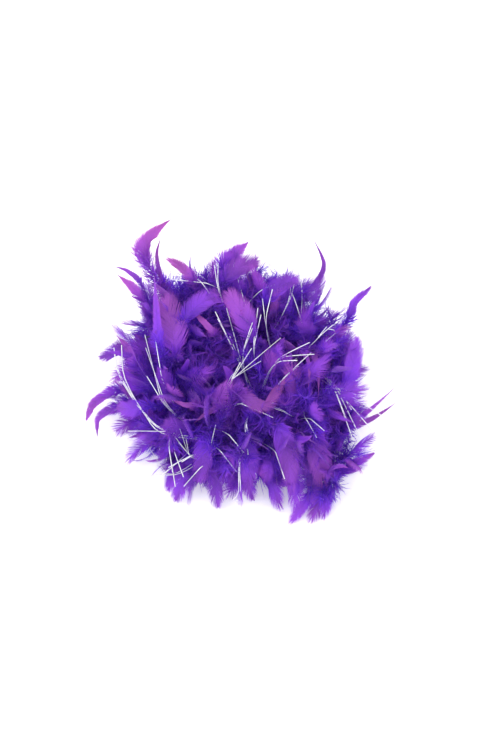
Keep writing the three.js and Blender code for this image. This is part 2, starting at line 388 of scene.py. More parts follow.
# A tube along points, with a radius at each, closed at both ends
def tubeAlong(points, radii, sides):
    points = np.asarray(points, float)
    radii = np.broadcast_to(radii, len(points))
    ahead = unit(np.gradient(points, axis=0))
    up = np.array([0, 0, 1.0]) if abs(ahead[0, 2]) < 0.9 else np.array([1.0, 0, 0])
    across = np.empty_like(points)
    last = unit(np.cross(ahead[0], up))
    for i, way in enumerate(ahead):
        last = unit(last - way * (last @ way))
        across[i] = last
    other = np.cross(ahead, across)
    turns = np.arange(sides) * 2 * math.pi / sides
    ring = np.cos(turns)[None, :, None] * across[:, None]
    ring = ring + np.sin(turns)[None, :, None] * other[:, None]
    rows = points[:, None] + ring * radii[:, None, None]
    rings = len(points)
    faces = []
    for i in range(rings - 1):
        for k in range(sides):
            a, b = i * sides + k, i * sides + (k + 1) % sides
            faces.append((a, b, b + sides, a + sides))
    faces.append(tuple(range(sides))[::-1])
    faces.append(tuple(range((rings - 1) * sides, rings * sides)))
    return rows.reshape(-1, 3), faces


def joinShapes(shapes):
    points, faces, start = [], [], 0
    for shapePoints, shapeFaces in shapes:
        points.append(np.asarray(shapePoints))
        faces += [tuple(i + start for i in face) for face in shapeFaces]
        start += len(shapePoints)
    return np.concatenate(points), faces


# A line that winds round the cord at a radius, one turn every lead
def windRound(start, end, radius, lead, perTurn, phase=0.0):
    count = max(int((end - start) / lead * perTurn), 2) + 1
    distance = np.linspace(start, end, count)
    along = alongCord(distance)
    side = unit(np.cross(along, (0, 0, 1.0)))
    up = np.cross(side, along)
    angle = 2 * math.pi * distance / lead + phase
    return onCord(distance) + radius * (np.cos(angle)[:, None] * side + np.sin(angle)[:, None] * up)


coreCord = {
    "diameter": 4.0,
    "plyRadius": 1.2,
    "plyOffset": 0.8,
    "plySides": 6,
    "lay": 13.0,
    "perTurn": 9,
    "pathStep": 4,
    "leastPath": 12,
}


# Two plies, half a turn apart
def makeCord(name, start, end, node):
    shapes = []
    offset, lay = coreCord["plyOffset"] * mm, coreCord["lay"] * mm
    for phase in (0.0, math.pi):
        line = windRound(start, end, offset, lay, coreCord["perTurn"], phase)
        shapes.append(tubeAlong(line, coreCord["plyRadius"] * mm, coreCord["plySides"]))
    piece = newPiece(name, *joinShapes(shapes), cordFinish)
    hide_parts(node)
    return piece


def declareCord(start, end, exitAt):
    count = max(int((end - start) / (coreCord["pathStep"] * mm)), coreCord["leastPath"])
    path = onCord(np.linspace(start, end, count))
    if exitAt == end:
        path = path[::-1]


def bendWith(piece):
    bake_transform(piece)


coilCord = makeCord("twisted_cord", lowerJoint, upperJoint, "core_cord")
lowerCord = makeCord("twisted_cord_lower_end", 0, lowerJoint, "core_cord_lower_end")
upperCord = makeCord("twisted_cord_upper_end", upperJoint, cordLength, "core_cord_upper_end")
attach(coilCord, "coil")
bendWith(lowerCord)
bendWith(upperCord)
declareCord(lowerJoint, upperJoint, lowerJoint)
declareCord(0, lowerJoint, lowerJoint)
declareCord(upperJoint, cordLength, upperJoint)
print(f"core cord: {cordLength:.3f} m in three stretches")


# A feather is drawn along its spine, from the root, with its face turned to +Y. Downy barbs
# stand loose on its lower part, and flat barbs lie side by side in the vane above.
featherMake = {
    "downSteps": 3,
    "vaneSteps": 2,
    "downSpacing": 0.62,
    "vaneSpacing": 1.1,
    "downHalfWidth": 0.42,
    "vaneOverlap": 0.66,
    "quill": 0.5,
    "quillTaper": 0.8,
    "spineSteps": 20,
    "lockShut": 0.16,
    "downCurl": 1.9,
}

# How the barbs are shaped and how far one differs from the next, in radians and shares
barbs = {
    "startJitter": 0.002,
    "fade": (-0.1, 0.06),
    "fadeJitter": 0.02,
    "otherSideLock": 0.37,
    "downReach": (0.55, 1.2),
    "vaneReach": (0.94, 1.03),
    "vaneClosing": 0.85,
    "downOpening": 0.28,
    "vaneOpening": 0.015,
    "downForward": (-0.5, 0.7),
    "vaneForward": 0.4,
    "downStand": 0.95,
    "downTurn": (-1.3, 1.3),
    "vaneTurn": 0.05,
    "downWave": (0.4, 1.4),
    "roll": 4.2,
    "swing": 5,
    "swingShare": 0.7,
    "longest": 1.55,
}

# Tone at the root, then how much it gains along the quill and along the barb. Low tone is painted shade at
# the roots, and high tone is painted light at the tips.
tones = {"down": (0.04, 0.22, 0.3), "vane": (0.5, 0.28, 0.2), "quill": (0.3, 0.55)}

# The vane's width, as a share of the full width, from where it starts (0) to its tip (1)
tipShapes = {
    "blunt": lambda x: 1 - 0.22 * x**3,
    "round": lambda x: np.sqrt(np.maximum(1 - x**3.2, 0.02)),
    "pointed": lambda x: (1 - x) ** 0.75 + 0.03,
}


def spineOf(length, curl, sway, twist):
    t = np.linspace(0, 1, featherMake["spineSteps"] + 1)
    lean = curl * t**1.4
    swing = sway * np.sin(1.25 * math.pi * t)
    way = unit(np.stack([np.sin(swing), np.sin(lean), np.cos(lean) * np.cos(swing)], 1))
    points = np.r_[np.zeros((1, 3)), np.cumsum((way[1:] + way[:-1]) / 2, 0)] * length / (len(t) - 1)
    side = np.stack([np.cos(twist * t), np.sin(twist * t), 0 * t], 1)
    return points, side


class Spine:
    def __init__(self, points, side):
        self.points = points
        self.ahead = unit(np.gradient(points, axis=0))
        self.side = unit(side - self.ahead * (self.ahead * side).sum(1, keepdims=True))
        self.face = np.cross(self.ahead, self.side)
        self.length = np.linalg.norm(np.diff(points, axis=0), axis=1).sum()
        self.marks = np.linspace(0, 1, len(points))

    def at(self, values, t):
        return np.stack([np.interp(t, self.marks, values[:, i]) for i in range(3)], 1)[:, None, :]


# The barbs that leave both sides of the quill at these shares of its length. Each is a
# narrow ribbon that ends in a point.
def drawBarbs(kind, spine, starts, steps, draw):
    make, vaneFrom, count = featherMake, kind["vaneFrom"], 2 * len(starts)
    closer = kind.get("closer", 1)
    t = np.clip(np.repeat(starts, 2) + draw.normal(0, barbs["startJitter"], count), 0.03, 1)
    sign = np.tile([1.0, -1.0], len(starts))
    fadeLow, fadeHigh = (vaneFrom + shift for shift in barbs["fade"])
    flat = fadeBetween(fadeLow, fadeHigh, t + draw.normal(0, barbs["fadeJitter"], count))
    loose = 1 - flat
    inVane = np.clip((t - vaneFrom) / max(1 - vaneFrom, 0.01), 0, 1)

    downReach = kind["downWidth"] * (0.65 + 0.35 * t / vaneFrom) * draw.uniform(*barbs["downReach"], count)
    vaneReach = kind["vaneWidth"] * tipShapes[kind["tip"]](inVane) * draw.uniform(*barbs["vaneReach"], count)
    reach = (downReach * loose + vaneReach * flat) * mm
    lockPlace = t * kind["locks"] + barbs["otherSideLock"] * (sign > 0)
    opening = kind["angle"] * (1 - barbs["vaneClosing"] * inVane**2.2)
    opening -= (lockPlace % 1 - 0.5) * kind.get("lockShut", make["lockShut"]) * flat
    splay = draw.normal(0, barbs["downOpening"], count) * loose
    opening += splay + draw.normal(0, barbs["vaneOpening"], count)
    forward = barbs["vaneForward"] * flat + loose * draw.uniform(*barbs["downForward"], count)
    stand = draw.normal(0, barbs["downStand"], count) * loose + kind["cup"] * flat
    turn = draw.uniform(*barbs["downTurn"], count) * loose
    turn += draw.normal(0, barbs["vaneTurn"], count) * flat
    phase = draw.uniform(0, 2 * math.pi, count)
    wave = make["downCurl"] * mm * loose * draw.uniform(*barbs["downWave"], count)

    u = np.linspace(0, 1, steps + 1)
    angle = opening[:, None] * (1 - forward[:, None] * (u[1:] + u[:-1]) / 2)
    barbLength = reach / np.sin(np.clip(angle, 0.6, 1.5)).mean(1)
    barbLength = np.minimum(barbLength, barbs["longest"] * max(kind["vaneWidth"], kind["downWidth"]) * mm)
    step = (barbLength / steps)[:, None]
    out = np.c_[np.zeros(count), np.cumsum(np.sin(angle), 1)] * step
    on = np.c_[np.zeros(count), np.cumsum(np.cos(angle), 1)] * step
    lifted = stand[:, None] * (0.35 + 0.65 * u)
    rolled = wave[:, None] * np.sin(phase[:, None] + barbs["roll"] * u) * u
    swung = barbs["swingShare"] * wave[:, None] * np.sin(1.7 * phase[:, None] + barbs["swing"] * u) * u
    face = spine.at(spine.face, t)
    line = spine.at(spine.points, t) + spine.at(spine.ahead, t) * (on + swung)[..., None]
    line = line + spine.at(spine.side, t) * (sign[:, None] * out * np.cos(lifted))[..., None]
    line = line + face * (out * np.sin(lifted) + rolled)[..., None]

    way = unit(np.gradient(line, axis=1))
    broad = unit(np.cross(face, way)) * np.cos(turn)[:, None, None]
    broad = broad + face * np.sin(turn)[:, None, None]
    overlap = kind.get("overlap", make["vaneOverlap"])
    closed = make["vaneSpacing"] * closer * mm * overlap * np.sin(np.clip(opening, 0.35, 1.5))
    half = make["downHalfWidth"] * mm * loose + closed * flat
    half = (1 - (0.65 - 0.3 * flat[:, None]) * u[:-1] ** 1.5) * half[:, None]
    left = line[:, :-1] - broad[:, :-1] * half[..., None]
    right = line[:, :-1] + broad[:, :-1] * half[..., None]
    corners = np.concatenate([np.stack([left, right], 2).reshape(count, -1, 3), line[:, -1:]], 1)
    perBarb = 2 * steps + 1
    first = np.arange(count)[:, None] * perBarb
    faces = [first + np.array([2 * k, 2 * k + 1, 2 * k + 3, 2 * k + 2]) for k in range(steps - 1)]
    faces.append(first + np.array([2 * steps - 2, 2 * steps - 1, 2 * steps]))
    faces = [tuple(face) for group in faces for face in group]

    # Tone runs from the dark root to the pale tip, which is painted shade at the root and painted light at
    # the tip, and shade is each barb's own.
    base, alongQuill, alongBarb = tones["down"]
    downTone = base + alongQuill * t[:, None] / vaneFrom + alongBarb * u
    base, alongQuill, alongBarb = tones["vane"]
    vaneTone = base + alongQuill * inVane[:, None] + alongBarb * u**1.5
    barbTone = downTone * loose[:, None] + vaneTone * flat[:, None]
    tone = np.concatenate([np.repeat(barbTone[:, :-1], 2, 1), barbTone[:, -1:]], 1).ravel()
    own = draw.normal(0, 1, count) * (0.03 * loose + 0.008 * flat) + 0.02 * np.sin(lockPlace * 2.1)
    shade = np.repeat(own, perBarb)
    edge = np.tile(np.r_[np.tile([-1.0, 1.0], steps), 0.0], count)
    return corners.reshape(-1, 3), faces, tone, shade, edge


def drawFeather(kind, points, side, seed):
    draw = np.random.default_rng(seed)
    make, spine, vaneFrom = featherMake, Spine(points, side), kind["vaneFrom"]
    closer = kind.get("closer", 1)
    downCount = int(vaneFrom * spine.length / (make["downSpacing"] * mm * closer))
    vaneCount = int((1 - vaneFrom) * spine.length / (make["vaneSpacing"] * mm * closer))
    downStarts = np.linspace(0.05, vaneFrom, downCount, endpoint=False)
    vaneStarts = np.linspace(vaneFrom, 0.995, vaneCount)
    down = drawBarbs(kind, spine, downStarts, make["downSteps"], draw)
    vane = drawBarbs(kind, spine, vaneStarts, make["vaneSteps"], draw)
    thin = kind.get("quill", make["quill"]) * mm * (1 - make["quillTaper"] * spine.marks[:-1])
    quillPoints, quillFaces = tubeAlong(points[:-1], thin, 3)
    # The quill too goes from painted shade at its root to painted light towards its tip.
    base, alongQuill = tones["quill"]
    quillTone = np.repeat(base + alongQuill * spine.marks[:-1], 3)
    quillShade = np.full(len(quillPoints), -0.05)
    quillEdge = np.tile([-1.0, 1.0, 0.0], len(quillPoints) // 3)
    quill = (quillPoints, quillFaces, quillTone, quillShade, quillEdge)
    places, faces = joinShapes([part[:2] for part in (down, vane, quill)])
    tone, shade, edge = (np.concatenate([part[i] for part in (down, vane, quill)]) for i in (2, 3, 4))
    return places, faces, np.clip(tone, 0.01, 0.99), shade, edge


def storeNumbers(mesh, name, values):
    mesh.attributes.new(name, "FLOAT", "POINT").data.foreach_set("value", np.asarray(values, np.float32))


def readNumbers(mesh, name):
    values = np.empty(len(mesh.vertices), np.float32)
    mesh.attributes[name].data.foreach_get("value", values)
    return values.astype(float)


def readPlaces(mesh):
    values = np.empty(len(mesh.vertices) * 3, np.float32)
    mesh.vertices.foreach_get("co", values)
    return values.reshape(-1, 3).astype(float)


# Kinds of feather: how many of each are drawn, and their mean sizes in millimetres
kinds = {
    "broad": {"count": 4, "length": 82, "vaneWidth": 14.5, "downWidth": 16, "vaneFrom": 0.52, "locks": 9},
    "pointed": {"count": 2, "length": 84, "vaneWidth": 7.0, "downWidth": 15, "vaneFrom": 0.5, "locks": 6},
    "downy": {"count": 7, "length": 60, "vaneWidth": 9, "downWidth": 22, "vaneFrom": 0.9, "locks": 4},
    "small": {"count": 2, "length": 60, "vaneWidth": 11, "downWidth": 16, "vaneFrom": 0.58, "locks": 7},
}
bend = {"curl": (-1.0, 0.9), "sway": (-0.4, 0.4), "twist": (-0.7, 0.7)}
tipsByKind = {
    "broad": ["blunt", "round", "blunt"],
    "pointed": ["pointed"],
    "downy": ["pointed"],
    "small": ["round", "pointed", "blunt"],
}


def makeKinds():
    shelf = bpy.data.collections.new("featherKinds")
    draw = np.random.default_rng(41)
    for name, kind in kinds.items():
        for i in range(kind["count"]):
            own = dict(kind)
            own["tip"] = tipsByKind[name][i % len(tipsByKind[name])]
            own["angle"] = draw.uniform(0.78, 1.0)
            own["cup"] = draw.uniform(-0.35, 0.5)
            length = kind["length"] * draw.uniform(0.88, 1.12) * mm
            curl, sway, twist = (draw.uniform(*bend[part]) for part in ("curl", "sway", "twist"))
            points, side = spineOf(length, curl, sway, twist)
            places, faces, tone, shade, edge = drawFeather(own, points, side, 100 + len(shelf.objects))
            mesh = bpy.data.meshes.new(f"{name}Feather")
            mesh.from_pydata([tuple(p) for p in places], [], faces)
            for label, values in (("tone", tone), ("shade", shade), ("edge", edge)):
                storeNumbers(mesh, label, values)
            shelf.objects.link(bpy.data.objects.new(f"{len(shelf.objects):02d}{name}", mesh))
    return shelf


class PieceTree(NodeTree):
    def __init__(self, name):
        self.tree = bpy.data.node_groups.new(name, "GeometryNodeTree")
        self.tree.interface.new_socket("Geometry", in_out="INPUT", socket_type="NodeSocketGeometry")
        self.tree.interface.new_socket("Geometry", in_out="OUTPUT", socket_type="NodeSocketGeometry")
        self.given = self.add("NodeGroupInput")
        self.result = self.add("NodeGroupOutput")
        self.ids = {}

    def input(self, name, kind):
        socket = self.tree.interface.new_socket(name, in_out="INPUT", socket_type=f"NodeSocket{kind}")
        self.ids[name] = socket.identifier
        return self.given.outputs[name]

    def named(self, name, kind="FLOAT"):
        node = self.add("GeometryNodeInputNamedAttribute", data_type=kind)
        node.inputs["Name"].default_value = name
        return node.outputs["Attribute"]

    def dress(self, geometry, finish):
        real = self.add("GeometryNodeRealizeInstances")
        self.join(geometry, real.inputs[0])
        dressed = self.add("GeometryNodeSetMaterial")
        self.join(real.outputs[0], dressed.inputs["Geometry"])
        self.join(finish, dressed.inputs["Material"])
        self.join(dressed.outputs[0], self.result.inputs[0])

    # The tree's result on a piece, as a plain mesh
    def bake(self, piece, **values):
        modifier = piece.modifiers.new("nodes", "NODES")
        modifier.node_group = self.tree
        for name, value in values.items():
            modifier[self.ids[name]] = value
        graph = bpy.context.evaluated_depsgraph_get()
        made = bpy.data.meshes.new_from_object(piece.evaluated_get(graph), depsgraph=graph)
        piece.modifiers.clear()
        piece.data = made
        return piece


# Puts a feather of its kind on every point, aimed, faced and scaled as the point says
def plantingTree():
    t = PieceTree("plantFeathers")
    shelf = t.input("Kinds", "Collection")
    shortest, longest = t.input("Shortest", "Float"), t.input("Longest", "Float")
    seed = t.input("Seed", "Int")
    finish = t.input("Finish", "Material")
    info = t.add("GeometryNodeCollectionInfo")
    info.inputs["Separate Children"].default_value = True
    info.inputs["Reset Children"].default_value = True
    t.join(shelf, info.inputs["Collection"])
    aim = t.add("FunctionNodeAlignRotationToVector", axis="Z")
    t.join(t.named("aim", "FLOAT_VECTOR"), aim.inputs["Vector"])
    faced = t.add("FunctionNodeAlignRotationToVector", axis="Y", pivot_axis="Z")
    t.join(aim.outputs[0], faced.inputs["Rotation"])
    t.join(t.named("facing", "FLOAT_VECTOR"), faced.inputs["Vector"])
    size = t.add("FunctionNodeRandomValue", data_type="FLOAT")
    sizeSockets = [s for s in size.inputs if s.enabled]
    t.join(shortest, sizeSockets[0])
    t.join(longest, sizeSockets[1])
    t.join(seed, size.inputs["Seed"])
    sizeOut = [s for s in size.outputs if s.enabled][0]
    scaled = t.add("ShaderNodeMath", operation="MULTIPLY")
    t.join(sizeOut, scaled.inputs[0])
    t.join(t.named("room"), scaled.inputs[1])
    planted = t.add("GeometryNodeInstanceOnPoints")
    planted.inputs["Pick Instance"].default_value = True
    t.join(t.given.outputs["Geometry"], planted.inputs["Points"])
    t.join(info.outputs[0], planted.inputs["Instance"])
    t.join(t.named("kind", "INT"), planted.inputs["Instance Index"])
    t.join(faced.outputs[0], planted.inputs["Rotation"])
    t.join(scaled.outputs[0], planted.inputs["Scale"])
    t.dress(planted.outputs[0], finish)
    return t


# Where the bunches lie on the cord, as the CAD bunches do
bunches = {
    "endMargin": 21.3,
    "jointGap": 4.0,
    "gap": 6.0,
    "onCoil": 29,
    "feathers": 44,
    "countedOver": 50,
    "spill": 2,
    "mostSpill": 3,
    "jitter": 1.5,
    "goldenTurn": 2.39996,
    "rootRadius": 1.8,
    "reach": 50,
    "shortest": 0.72,
    "longest": 1.02,
    "leastLean": 0.3,
    "mostLean": 1.15,
    "away": 0.75,
    "endDraw": (-0.5, -0.3, 0.05),
    "thinner": {19: 0.6, 27: 0.8, 28: 0.65},
    "seed": 700,
}


def bunchStretches():
    jointGap, gap = bunches["jointGap"] * mm, bunches["gap"] * mm
    first, last = lowerJoint + jointGap, upperJoint - jointGap
    long = (last - first + gap) / bunches["onCoil"] - gap
    inner = [(first + i * (long + gap), first + i * (long + gap) + long) for i in range(bunches["onCoil"])]
    margin = bunches["endMargin"] * mm
    lower = (margin, lowerJoint - jointGap)
    upper = (upperJoint + jointGap, cordLength - margin)
    return [lower, *inner, upper]


# The way out of the crowd: from the neighbouring turns and from the floor
crowd = {"spacing": 8, "ownStretch": 45, "reach": 34, "push": 0.28, "floorReach": 16, "floorPush": 1.6}
spacedCord = np.arange(0, cordLength, crowd["spacing"] * mm)
spacedPoints = onCord(spacedCord)


def freeWay(places, distance):
    gap = places[:, None, :] - spacedPoints[None]
    far = np.linalg.norm(gap, axis=2)
    own = np.abs(distance[:, None] - spacedCord[None]) < crowd["ownStretch"] * mm
    pull = np.exp(-((far / (crowd["reach"] * mm)) ** 2)) * ~own
    push = (gap / far[..., None].clip(1e-4) * pull[..., None]).sum(1) * crowd["push"]
    push[:, 2] += crowd["floorPush"] * np.exp(-places[:, 2].clip(-0.02) / (crowd["floorReach"] * mm))
    return push


# Feathers that would stand out past the rim or the top are shorter, so the pile keeps its outline.
outline = {
    "left": 162,
    "right": 148,
    "back": 154,
    "front": 160,
    "reach": 82,
    "least": 0.66,
    "endRoom": 0.86,
    "crest": 130,
    "crestSwing": 13,
    "crestWave": 21,
}


def roomFor(root, aim, number):
    if number == 1:
        return np.full(len(root), outline["endRoom"])
    tip = root + aim * outline["reach"] * mm

    def outward(places):
        across = np.where(places[:, 0] > 0, outline["right"], outline["left"]) * mm
        along = np.where(places[:, 1] > 0, outline["back"], outline["front"]) * mm
        return np.hypot(places[:, 0] / across, places[:, 1] / along)

    start, end = outward(root), outward(tip)
    share = (1 - start) / np.maximum(end - start, 0.01)
    room = np.where(end > 1, np.clip(share, outline["least"], 1), 1.0)
    waves = np.sin(tip[:, 0] / (outline["crestWave"] * mm))
    waves = waves * np.cos(tip[:, 1] / (0.8 * outline["crestWave"] * mm))
    crest = (outline["crest"] + outline["crestSwing"] * waves) * mm
    rise = np.clip((crest - root[:, 2]) / np.maximum(tip[:, 2] - root[:, 2], 1 * mm), outline["least"], 1)
    return np.minimum(room, rise)


def plantBunch(number, start, end, tree, shelf):
    draw = np.random.default_rng(bunches["seed"] + number)
    share = bunches["thinner"].get(number, 1)
    count = int(bunches["feathers"] * share * (end - start) / (bunches["countedOver"] * mm))
    spill, mostSpill = bunches["spill"] * mm, bunches["mostSpill"] * mm
    distance = np.linspace(start - spill, end + spill, count)
    distance = distance + draw.normal(0, bunches["jitter"] * mm, count)
    distance = np.clip(distance, start - mostSpill, end + mostSpill)
    along = alongCord(distance)
    side = unit(np.cross(along, (0, 0, 1.0)))
    up = np.cross(side, along)
    angle = np.arange(count) * bunches["goldenTurn"] + draw.uniform(0, 0.6, count)
    out = np.cos(angle)[:, None] * side + np.sin(angle)[:, None] * up
    lean = draw.uniform(bunches["leastLean"], bunches["mostLean"], count)
    lean = lean * np.where(np.arange(count) % 2, 1, -1)
    aim = out * np.cos(lean)[:, None] + along * np.sin(lean)[:, None]
    root = onCord(distance) + out * bunches["rootRadius"] * mm
    push = freeWay(root + aim * bunches["reach"] * mm, distance)
    drawn = np.array(bunches["endDraw"]) if number == 1 else 0
    aim = unit(aim + bunches["away"] * push + drawn)
    facing = unit(out * 0.9 + np.array([0, 0, 0.45]) + draw.normal(0, 0.35, (count, 3)))
    host = newPiece(f"feathers_{number:02d}", root, [], featherFinish)
    mesh = host.data
    for name, values in (("aim", aim), ("facing", facing)):
        mesh.attributes.new(name, "FLOAT_VECTOR", "POINT").data.foreach_set("vector", values.ravel())
    storeNumbers(mesh, "room", roomFor(root, aim, number))
    storeNumbers(mesh, "tint", draw.uniform(0, 1, count) ** 2 * 0.82)
    kindNumbers = draw.integers(0, len(shelf.objects), count).astype(np.int32)
    mesh.attributes.new("kind", "INT", "POINT").data.foreach_set("value", kindNumbers)
    tree.bake(
        host,
        Kinds=shelf,
        Shortest=bunches["shortest"],
        Longest=bunches["longest"],
        Seed=bunches["seed"] + number,
        Finish=featherFinish,
    )
    settle(host.data)
    paintPlumage(host.data)
    return host


# Feathers press flat on the floor, and none stands out far past the CAD box.
limits = {"floorSoft": 7.0, "edgeSoft": 18.0, "spare": 15.0, "topSpare": 9.0}
cadLow, cadHigh = (np.array(corner) for corner in cadBox)


def settle(mesh):
    places = readPlaces(mesh)
    soft = limits["floorSoft"] * mm
    low = places[:, 2] < soft
    places[low, 2] = soft * np.exp((places[low, 2] - soft) / soft)
    edge = limits["edgeSoft"] * mm
    spare = np.array([limits["spare"], limits["spare"], limits["topSpare"]]) * mm
    for axis in range(3):
        top = cadHigh[axis] + spare[axis]
        over = places[:, axis] > top - edge
        places[over, axis] = top - edge * np.exp(-(places[over, axis] - top + edge) / edge)
        if axis < 2:
            bottom = cadLow[axis] - spare[axis]
            under = places[:, axis] < bottom + edge
            places[under, axis] = bottom + edge * np.exp((places[under, axis] - bottom - edge) / edge)
    mesh.vertices.foreach_set("co", places.ravel())
    mesh.update()


# One map for colour: across it runs the tone from root to tip, and up it each feather's tint.
def paintPlumage(mesh, tint=None):
    tone, shade, edge = (readNumbers(mesh, name) for name in ("tone", "shade", "edge"))
    tint = readNumbers(mesh, "tint") if tint is None else tint
    across = np.clip(0.1 + 0.8 * tint + shade, 0.01, 0.99) + edge * 0.006
    corner = np.empty(len(mesh.loops), np.int32)
    mesh.loops.foreach_get("vertex_index", corner)
    mapped = np.stack([tone, across], 1)[corner].astype(np.float32)
    for name in ("OFBake", "plumage"):
        layer = mesh.uv_layers.new(name=name)
        layer.uv.foreach_set("vector", mapped.ravel())
    mesh.polygons.foreach_set("use_smooth", np.ones(len(mesh.polygons), bool))
    for name in ("tone", "shade", "edge", "tint", "aim", "facing", "room", "kind"):
        if name in mesh.attributes:
            mesh.attributes.remove(mesh.attributes[name])
    mesh.update()


featherShelf = makeKinds()
planting = plantingTree()
for number, (start, end) in enumerate(bunchStretches(), 1):
    bunchPiece = plantBunch(number, start, end, planting, featherShelf)
    if number == 1:
        bendWith(bunchPiece)
    elif number == len(bunchStretches()):
        bendWith(bunchPiece)
    else:
        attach(bunchPiece, "coil")
    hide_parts(f"feather_bunch_{number:02d}")
print(f"feather bunches: {len(bunchStretches())} pieces")


# A smooth line through points given in millimetres, starting at a point on the cord
def lineThrough(start, points, count):
    given = np.vstack([start, np.array(points, float) * mm])
    padded = np.vstack([2 * given[0] - given[1], given, 2 * given[-1] - given[-2]])
    share = np.linspace(0, len(given) - 1, count)
    k = np.minimum(share.astype(int), len(given) - 2)
    f = (share - k)[:, None]
    a, b, c, d = padded[k], padded[k + 1], padded[k + 2], padded[k + 3]
    return 0.5 * (2 * b + (c - a) * f + (2 * a - 5 * b + 4 * c - d) * f**2 + (3 * b - a - 3 * c + d) * f**3)


# The middle of the gap in the feathers after this many bunches, as a distance along the cord
def gapAfter(count):
    stretches = bunchStretches()
    if count == 0:
        return stretches[0][0] - 3 * mm
    if count == len(stretches):
        return stretches[-1][1] + 3 * mm
    return (stretches[count - 1][1] + stretches[count][0]) / 2


def featherMesh(name, parts, finish):
    shapes = [part[:2] for part in parts]
    piece = newPiece(name, *joinShapes(shapes), finish)
    for i, label in ((2, "tone"), (3, "shade"), (4, "edge"), (5, "tint")):
        storeNumbers(piece.data, label, np.concatenate([part[i] for part in parts]))
    settle(piece.data)
    paintPlumage(piece.data)
    return piece


def longFeather(look, root, seed):
    steps = featherMake["spineSteps"] + 5
    points = lineThrough(root, look["through"], steps)
    ahead = unit(np.gradient(points, axis=0))
    face = unit(np.array(look.get("face", (0.0, -0.45, 0.9))))
    turn = look.get("twist", 0.0) * np.linspace(-0.5, 0.5, steps)[:, None]
    side = unit(np.cross(face, ahead))
    side = side * np.cos(turn) + np.cross(ahead, side) * np.sin(turn)
    kind = {**longMake, **look}
    drawn = drawFeather(kind, points, side, seed)
    return (*drawn, np.full(len(drawn[0]), look["tint"]))


# One long feather: the points that its line runs through and its vane's width, both in
# millimetres, the shape of its tip, and its tint from violet (0) to magenta (1)
def plume(through, vaneWidth, tip, tint, **own):
    return {"through": through, "vaneWidth": vaneWidth, "tip": tip, "tint": tint, **own}


# What the long feathers and the laid ones share
longMake = {
    "downWidth": 13,
    "vaneFrom": 0.42,
    "locks": 5,
    "lockShut": 0.1,
    "angle": 0.8,
    "cup": 0.2,
    "closer": 0.7,
    "overlap": 0.95,
    "quill": 0.38,
}
longFeathers = {
    "plume_tail": [
        plume([(94, -144, 15), (85, -164, 7)], 11, "blunt", 0.62),
        plume([(80, -146, 18), (62, -168, 7)], 9, "blunt", 0.55),
        plume([(103, -144, 18), (98, -163, 10)], 8, "blunt", 0.3),
    ],
    "plume_blunt_right": [
        plume([(128, -110, 28), (158, -92, 24)], 6.5, "round", 0.72),
        plume([(118, -116, 24), (140, -106, 12)], 6, "blunt", 0.6),
    ],
    "plume_split_right": [
        plume([(124, -60, 38), (152, -44, 40), (190, -6, 34)], 5, "pointed", 0.75, downWidth=7, root=12),
        plume([(126, -64, 36), (158, -50, 34), (191, -24, 28)], 5, "pointed", 0.82, downWidth=7, root=8),
    ],
    "plume_strap_right": [
        plume([(128, 66, 60), (140, 88, 74), (158, 106, 78)], 6, "blunt", 0.5),
    ],
    "plume_thin_right": [
        plume([(80, 100, 70), (102, 124, 98), (90, 158, 112)], 5, "pointed", 0.66, downWidth=8),
    ],
    "plume_back": [
        plume([(-22, 130, 34), (-24, 166, 22)], 12, "round", 0.4),
    ],
    "plume_tall_left": [
        plume([(-90, 84, 98), (-116, 126, 120), (-108, 150, 128), (-84, 173, 133)], 12, "pointed", 1.0,
              downWidth=17, vaneFrom=0.5, twist=0.3, closer=0.5, overlap=1.2, locks=3),
        plume([(-88, 84, 98), (-100, 122, 118), (-96, 150, 127)], 4, "pointed", 0.85, downWidth=10),
    ],
    "plume_back_left": [
        plume([(-138, 44, 34), (-172, 42, 22)], 11, "round", 0.45),
    ],
    "plume_curled_left": [
        plume([(-140, -14, 38), (-172, -26, 34), (-186, -44, 20)], 7, "round", 0.78),
        plume([(-138, -34, 34), (-168, -44, 28), (-172, -66, 14)], 7, "pointed", 0.7),
    ],
    "plume_front_left": [
        plume([(-74, -108, 32), (-84, -132, 12)], 10, "round", 0.35),
    ],
    "plume_front": [
        plume([(4, -118, 34), (14, -143, 10)], 11, "round", 0.5),
        plume([(30, -122, 30), (44, -148, 12)], 12, "blunt", 0.3),
    ],
    "plume_top": [
        plume([(-20, 112, 110), (-8, 130, 115), (10, 152, 112)], 13, "pointed", 0.74),
    ],
    "plume_side_left": [
        plume([(-122, 84, 100), (-150, 118, 92)], 8, "pointed", 0.95),
        plume([(-116, 88, 108), (-134, 108, 112), (-154, 122, 104)], 4, "pointed", 0.7, downWidth=6),
    ],
}
# The gap between the bunches from which each comes, counted from the lower end
rootGaps = {
    "plume_tail": 0,
    "plume_blunt_right": 0,
    "plume_split_right": 1,
    "plume_strap_right": 3,
    "plume_thin_right": 4,
    "plume_back": 5,
    "plume_tall_left": 6,
    "plume_back_left": 7,
    "plume_curled_left": 8,
    "plume_front_left": 9,
    "plume_front": 10,
    "plume_top": 29,
    "plume_side_left": 31,
}
endPlumes = {
    "plume_tail": "lower_end",
    "plume_blunt_right": "lower_end",
    "plume_side_left": "upper_end",
}

for number, (name, looks) in enumerate(longFeathers.items()):
    parts = []
    for i, look in enumerate(looks):
        root = onCord(gapAfter(rootGaps[name]) + look.get("root", 0) * mm)[0]
        parts.append(longFeather(look, root, 300 + 10 * number + i))
    piece = featherMesh(name.replace("plume", "long_feather"), parts, featherFinish)
    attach(piece, endPlumes.get(name, "coil"))
    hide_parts(name)
print(f"long feathers: {len(longFeathers)} pieces")


